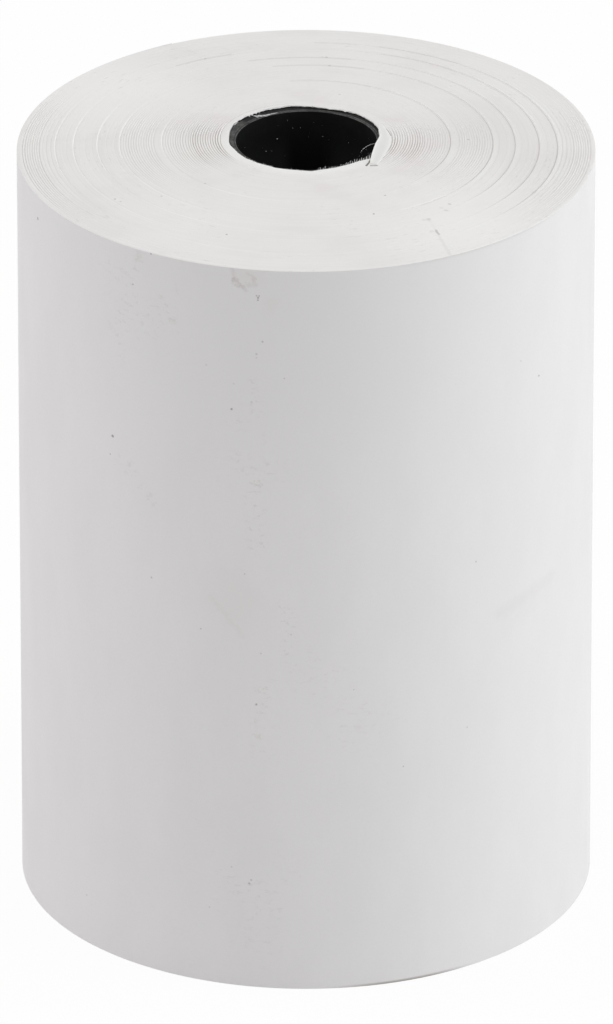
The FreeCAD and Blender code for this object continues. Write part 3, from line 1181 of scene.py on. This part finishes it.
def face_tone(shader, flat, upper, rings):
    """Fine rings, a rosy tint, lighter and darker regions, and lighter paper round the mouth."""
    shader.colour = shader.mix(shader.ramp(rings, 0.30, 0.72), EDGE_WHITE, EDGE_RINGS)
    radius = shader.vector("LENGTH", flat)
    tint = shader.noise(shader.vector("MULTIPLY", flat, (170, 230, 0)), 1.0, 3.0, 0.55)
    tint = shader.times(
        shader.ramp(tint, 0.42, 0.70), shader.ramp(radius, 7 * MM, 13 * MM, 0.6, 0.25)
    )
    shader.tint(tint, ROSE)
    shader.marks(upper, spots(on_face, FACE_LIGHTER), EDGE_LIGHTER, 1.0)
    shader.marks(upper, spots(on_face, FACE_DARKER), EDGE_DARKER, 1.0)
    inner = shader.ramp(radius, 5.7 * MM, 6.6 * MM, 1.0, 0.0)
    less_in_front = shader.ramp(shader.split(flat)[1], -3 * MM, 5 * MM, 0.8, 0.25)
    shader.tint(shader.times(inner, less_in_front), MOUTH_LIGHTER)


def face_dashes(shader, flat):
    """Short dark and pale dashes along the turns, in patches, and painted shade in the steps' gaps
    and painted highlight on their flanks.
    """
    dashes = shader.noise(shader.round_axis(flat, 8000, 24, 0), 1.0)
    patches = shader.ramp(shader.noise(flat, 160.0, 2.0, 0.6), 0.42, 0.6)
    dark = shader.times(shader.ramp(dashes, 0.64, 0.71), patches)
    pale = shader.times(shader.ramp(dashes, 0.29, 0.35, 1.0, 0.0), patches)
    shader.tint(shader.times(dark, 0.34), DARK_DASH)
    shader.tint(shader.times(pale, 0.50), PALE_DASH)
    # Painted highlight on the steps' flanks, then painted shade in their gaps.
    gaps = shader.attribute("gap")
    shader.tint(shader.times(gaps, -0.75, clamp=True), FLANK_HIGHLIGHT)
    shader.tint(gaps, GAP_SHADE)


def face_marks(shader, upper):
    """The slit and hollows' painted shade, the scratch, the ridge's painted light, gap shade,
    dots.
    """
    ragged = shader.ragged(upper, 0.28 * MM, 3600.0)
    sharp = shader.ragged(upper, 0.10 * MM, 6000.0)
    # Painted shade in the slit and the hollows beside the fold.
    shader.trails(sharp, lines(on_face, FACE_SLIT), SLIT_SHADE)
    shader.trails(sharp, lines(on_face, FACE_HOLLOWS), HOLLOW_SHADE)
    shader.trails(ragged, lines(on_face, FACE_SCRATCH), SCRATCH_GREY, 0.8)
    shader.marks(ragged, spots(on_face, FACE_BLOTS), SCRATCH_GREY)
    # A painted highlight along the ridge, and painted shade just below it.
    ridge = [on_face(x, y) for x, y in LIT_RIDGE]
    below = [point + RIDGE_SHADE_SHIFT for point in ridge[2:]]
    shader.trails(ragged, [(below, 0.11 * MM, 0.20)], WARM_GREY, 0.9)
    shader.trails(ragged, [(ridge, 0.12 * MM, 0.42)], RIDGE_HIGHLIGHT, 0.9)
    # Painted shade in the gaps at the back and behind the loose innermost turn.
    shader.trails(ragged, gap_shade_lines(), GAP_LINE_SHADE, 0.9)
    shader.marks(sharp, spots(on_face, FACE_DOTS), DIRT)


def face_paper():
    """The cut edges of the turns, seen end on: fine rings, short dashes and a little dirt."""
    shader = Shader("paper_edges")
    place = shader.place()
    flat = shader.vector("MULTIPLY", place, (1, 1, 0))
    upper = top_place(shader, place)
    rings = shader.noise(shader.round_axis(flat, 9500, 1.6, 0), 1.0, 2.0, 0.6)
    face_tone(shader, flat, upper, rings)
    face_dashes(shader, flat)
    face_marks(shader, upper)
    grain = shader.noise(place, 5200.0, 3.0, 0.6)
    shader.bump(shader.maths("ADD", shader.times(rings, 1.2), grain), 0.45, 0.009 * MM)
    return shader.finish(shader.ramp(rings, 0.3, 0.7, 0.64, 0.76), gloss=0.12)


# ---------------- the other materials

FRESH_WHITE, FRESH_CLOUD = rgb(0.900, 0.893, 0.885), rgb(0.845, 0.838, 0.828)
# Painted shade for the middle of the fold's flap.
FLAP_SHADE = rgb(0.745, 0.740, 0.722)
BLACK, BLACK_CLOUD = rgb(0.0082, 0.0082, 0.0084), rgb(0.0110)
# Painted shade deep in the bore, and a painted sheen low on its sides.
BORE_DEEP_SHADE = rgb(0.0080, 0.0080, 0.0082)
BORE_SHEEN = rgb(0.0360)
RIM_GREY, RIM_PALE = rgb(0.055, 0.055, 0.053), rgb(0.120, 0.119, 0.116)
# Specks on the rim, a groove's painted shade, and the painted shadow of the paper.
RIM_SPECKS, GROOVE_SHADE, RIM_SHADOW = rgb(0.020), rgb(0.025), rgb(0.006)
DUST_GREY, DUST_DARK = rgb(0.58, 0.56, 0.57), rgb(0.26, 0.25, 0.255)


def fresh_paper():
    """Clean paper that was never on the outside: the folded end and torn fibres."""
    shader = Shader("paper_fresh")
    place = shader.place()
    cloud = shader.noise(place, 900.0, 3.0, 0.6)
    shader.colour = shader.mix(shader.ramp(cloud, 0.3, 0.75), FRESH_WHITE, FRESH_CLOUD)
    # Painted shade across the middle of the fold's flap.
    hollow_shade = shader.times(shader.attribute("hollow"), shader.ramp(cloud, 0.25, 0.75, 1.0, 0.7))
    shader.tint(hollow_shade, FLAP_SHADE)
    shader.bump(shader.noise(place, 3800.0, 3.0, 0.6), 0.4, 0.01 * MM)
    return shader.finish(shader.ramp(cloud, 0.3, 0.7, 0.5, 0.62), gloss=0.3)


def bore_tone(shader, place, cloud):
    """Black plastic, with painted shade deep in the bore and a painted sheen low on its left and
    right.
    """
    x, _, height = shader.split(place)
    shader.colour = shader.mix(shader.ramp(cloud, 0.35, 0.8), BLACK, BLACK_CLOUD)
    # Painted shade: darker and plainer deeper in the bore.
    deep = shader.ramp(height, CORE_TOP - 4.0 * MM, CORE_TOP - 0.8 * MM, 1.0, 0.0)
    shader.tint(deep, BORE_DEEP_SHADE)
    # A painted sheen low on the bore's left and right walls.
    low = shader.ramp(height, CORE_TOP - 5.4 * MM, CORE_TOP - 1.2 * MM, 1.0, 0.0)
    left = shader.ramp(x, -1.9 * MM, -0.8 * MM, 1.0, 0.0)
    right = shader.ramp(x, 0.9 * MM, 2.6 * MM, 0.0, 0.7)
    sheen = shader.times(shader.maths("MAXIMUM", left, right), low)
    shader.tint(sheen, BORE_SHEEN)


def rim_tone(shader, place, cloud):
    """The cut rim: scuffed grey, with a groove's painted shade inside, and a painted shadow by the
    paper at the back.
    """
    shader.colour = shader.mix(shader.ramp(cloud, 0.35, 0.65), RIM_GREY, RIM_PALE)
    specks = shader.ramp(shader.noise(place, 7000.0, 2.0, 0.6), 0.50, 0.64, 0.0, 0.6)
    shader.tint(specks, RIM_SPECKS)
    radius = shader.vector("LENGTH", shader.vector("MULTIPLY", place, (1, 1, 0)))
    # Painted shade of a groove just outside the bore's edge.
    groove = shader.times(
        shader.ramp(radius, BORE_RADIUS + 0.06 * MM, BORE_RADIUS + 0.10 * MM),
        shader.ramp(radius, BORE_RADIUS + 0.14 * MM, BORE_RADIUS + 0.18 * MM, 0.9, 0.0),
    )
    shader.tint(groove, GROOVE_SHADE)
    x, y, _ = shader.split(place)
    behind = shader.maths("ADD", y, shader.times(x, 0.32))
    shadow = shader.times(
        shader.ramp(radius, CORE_RADIUS - 0.24 * MM, CORE_RADIUS - 0.16 * MM, 0.0, 0.9),
        shader.ramp(behind, 1.2 * MM, 2.2 * MM),
    )
    shader.tint(shadow, RIM_SHADOW)


def black_plastic():
    """Cheap black plastic: a dull cut rim, and a bore with faint drag lines."""
    shader = Shader("core_plastic")
    place = shader.place()
    cloud = shader.noise(place, 1300.0, 4.0, 0.6)
    up = shader.split(shader.add("NewGeometry", output=1))[2]
    on_rim = shader.ramp(shader.maths("ABSOLUTE", up), 0.35, 0.75)
    bore_tone(shader, place, cloud)
    bore = shader.colour
    rim_tone(shader, place, cloud)
    shader.colour = shader.mix(on_rim, bore, shader.colour)
    drag = shader.noise(shader.round_axis(place, 0, 90, 8), 1.0, 3.0, 0.6)
    shader.bump(shader.maths("ADD", drag, cloud), 0.3, 0.01 * MM)
    return shader.finish(shader.ramp(drag, 0.3, 0.7, 0.46, 0.62), gloss=0.07)


def dust_glint_material():
    """Grey paper dust rubbed into the rim, which also stands for a painted highlight."""
    shader = Shader("streak_dust_glint")
    speck = shader.ramp(shader.noise(shader.place(), 6500.0, 2.0, 0.6), 0.40, 0.62)
    shader.colour = shader.mix(speck, DUST_GREY, DUST_DARK)
    return shader.finish(0.7, gloss=0.5)


# ---------------- the studio

FLOOR_SIZE = 3.0
FLOOR_GREY, FLOOR_SEEN = rgb(0.60), rgb(0.95)
FLOOR_GLOW = 0.92
WORLD_LIGHT = 0.74

# The lamps: degrees from the front and up, distance and size in metres, watts and colour.
LAMPS = {
    "key": (82, 13, 0.75, 0.50, 2.72, (0.955, 1.0, 0.995)),
    "fill": (-90, 26, 0.65, 0.75, 1.24, (1.0, 1.0, 1.0)),
}

# The camera is far off, so that the roll's sides stay parallel: degrees up, distance, the lens
# and the sensor in mm, and where it looks.
CAMERA_UP = 25.89
CAMERA_DISTANCE = 60.68 * ROLL_RADIUS
CAMERA_LENS, CAMERA_SENSOR = 612.0, 36.0
CAMERA_AIM = Vector((0.015 * MM, 0.0, 28.08 * MM))


def seen_share(nodes):
    """1 for rays that come from the camera, a gloss or through glass, else 0."""
    path = nodes.add("LightPath").node.outputs
    total = path["Is Camera Ray"]
    for name in ("Is Glossy Ray", "Is Transmission Ray"):
        total = nodes.maths("ADD", total, path[name], clamp=True)
    return total


def show_white(nodes, share, usual, kind, output):
    """Shows a share of plain white light, from a node of this kind, over the usual surface."""
    white = nodes.add(kind, {"Color": rgb(1.0), "Strength": 1.0})
    blend = nodes.add("MixShader", {0: share, 1: usual.outputs[0], 2: white})
    nodes.link(blend, nodes.tree.nodes[output].inputs["Surface"])


def studio_floor():
    """A plain white floor that shows nearly white and keeps a soft shadow."""
    edge = FLOOR_SIZE
    corners = [(-edge, -edge, 0), (edge, -edge, 0), (edge, edge, 0), (-edge, edge, 0)]
    floor = mesh_piece("floor", corners, [(0, 1, 2, 3)])
    shader = Shader("floor_white")
    seen = seen_share(shader)
    shader.colour = shader.mix(seen, FLOOR_GREY, FLOOR_SEEN)
    shader.finish(0.9, gloss=0.0)
    share = shader.times(seen, FLOOR_GLOW)
    show_white(shader, share, shader.surface, "Emission", "Material Output")
    floor.data.materials.append(shader.material)
    floor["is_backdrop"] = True


def studio_world():
    """Soft light from all round, which the camera sees as plain white."""
    world = bpy.data.worlds.new("studio")
    world.use_nodes = True
    bpy.context.scene.world = world
    nodes = Nodes(world.node_tree)
    ambient = nodes.tree.nodes["Background"]
    nodes.link(rgb(1.0), ambient.inputs["Color"])
    nodes.link(WORLD_LIGHT, ambient.inputs["Strength"])
    show_white(nodes, seen_share(nodes), ambient, "Background", "World Output")


def look_at(name, data, aim, side, up, distance):
    """An object this far from a point, facing it. side is degrees from the front."""
    holder = bpy.data.objects.new(name, data)
    bpy.context.collection.objects.link(holder)
    side, up = math.radians(side), math.radians(up)
    back = Vector((math.sin(side) * math.cos(up), -math.cos(side) * math.cos(up), math.sin(up)))
    holder.location = aim + back * distance
    holder.rotation_mode = "QUATERNION"
    holder.rotation_quaternion = (-back).to_track_quat("-Z", "Y")
    return holder


def softbox(name, side, up, distance, size, power, colour):
    """A square area lamp that faces the middle of the roll."""
    lamp = bpy.data.lights.new(name, "AREA")
    lamp.shape = "RECTANGLE"
    lamp.size = lamp.size_y = size
    lamp.energy = power
    lamp.color = colour
    look_at(name, lamp, Vector((0, 0, STRIP_WIDTH / 2)), side, up, distance)


def camera():
    """The photo's view."""
    data = bpy.data.cameras.new("camera")
    data.sensor_width = CAMERA_SENSOR
    data.lens = CAMERA_LENS
    data.clip_start, data.clip_end = 0.05, 20.0
    view = look_at("camera", data, CAMERA_AIM, 0.0, CAMERA_UP, CAMERA_DISTANCE)
    bpy.context.scene.camera = view


# ---------------- putting it together

def dress(piece, slot, *materials):
    """Gives a piece its materials and the body it rides on. The slot is not used."""
    for material in materials:
        piece.data.materials.append(material)
    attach(piece, "root")


def main():
    wall, face, fresh, plastic = wall_paper(), face_paper(), fresh_paper(), black_plastic()
    paper = wound_paper()
    dress(paper, "thermal_paper", face, wall)
    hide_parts("paper_roll")
    dress(folded_end(), "thermal_paper", fresh)
    dress(tail_end(), "thermal_paper", wall)
    for piece in (edge_fuzz(), stray_fibre(), bore_dust()):
        dress(piece, "thermal_paper", fresh)
    # The rim's pale streak: rubbed dust and a painted highlight.
    dress(dust_glint_rim_streak(), "thermal_paper", dust_glint_material())
    core = core_tube()
    dress(core, "core_plastic", plastic)
    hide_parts("core")

    studio_floor()
    studio_world()
    for name, facts in LAMPS.items():
        softbox(name, *facts)
    camera()
    bpy.context.scene.view_settings.view_transform = "Standard"


main()

visual_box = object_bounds()
[[list(corner) for corner in box] for box in (cad_box, visual_box)]
